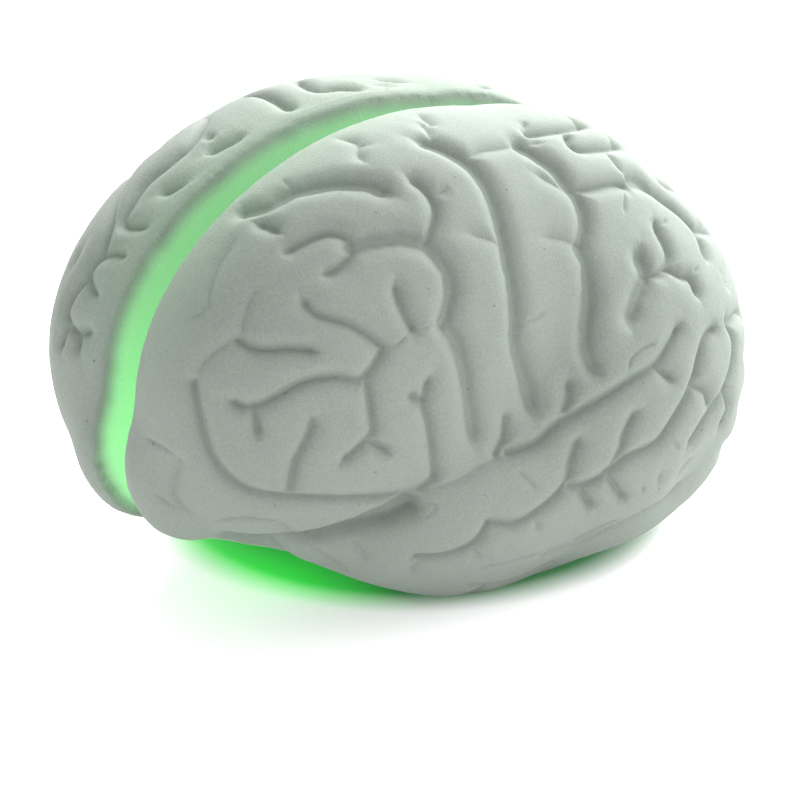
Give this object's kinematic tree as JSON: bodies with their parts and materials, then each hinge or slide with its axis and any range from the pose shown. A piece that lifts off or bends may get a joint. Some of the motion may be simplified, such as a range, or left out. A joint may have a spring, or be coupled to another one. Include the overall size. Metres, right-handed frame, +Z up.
{
  "type": "brain-shaped stress ball with a lamp",
  "caption": "Brain-shaped foam squeeze ball: two folded hemispheres, cerebellum and stem on a translucent core whose lamp glows green through the slot between them.",
  "frame": {"origin": "middle of the footprint, on the surface that the ball rests on", "axes": "+Z up, -Y towards the frontal pole, +X towards the brain's left hemisphere"},
  "size_m": [0.064, 0.086, 0.056],
  "materials": {
    "foam": "matt self-skinned polyurethane foam",
    "glow": "translucent silicone, lit from inside",
    "clear_case": "clear moulded plastic",
    "board": "solder-masked fibreglass",
    "lamp": "clear epoxy, lit green",
    "cell": "nickel-plated steel",
    "contact": "plain strip",
    "black_plastic": "moulded",
    "button": "translucent silicone"
  },
  "bodies": {
    "ball_core": {"cerebellum": "foam", "brain_stem": "foam", "glow_core": "glow", "lamp_case_base": "clear_case", "lamp_case_lid": "clear_case", "circuit_board": "board", "led_front": "lamp", "led_middle": "lamp", "led_rear": "lamp", "cell_front": "cell", "cell_middle": "cell", "cell_rear": "cell", "contact_lower": "contact", "contact_upper": "contact", "timer_chip": "black_plastic", "resistor": "black_plastic", "switch_body": "black_plastic"},
    "left_half": {"left_hemisphere": "foam"},
    "right_half": {"right_hemisphere": "foam"},
    "button": {"switch_button": "button"}
  },
  "joints": [
    {"name": "left_squeeze", "type": "hinge", "parent": "ball_core", "child": "left_half", "pos_m": [0.01, -0.002, 0.014], "axis": [0, -1, 0], "range_deg": [0, 3], "stiffness_Nm_per_rad": 4},
    {"name": "right_squeeze", "type": "hinge", "parent": "ball_core", "child": "right_half", "pos_m": [-0.01, -0.002, 0.014], "axis": [0, 1, 0], "range_deg": [0, 3], "stiffness_Nm_per_rad": 4},
    {"name": "button_press", "type": "slide", "parent": "ball_core", "child": "button", "axis": [0, 0, 1], "range_m": [0, 0.0008], "stiffness_N_per_m": 1000}
  ]
}
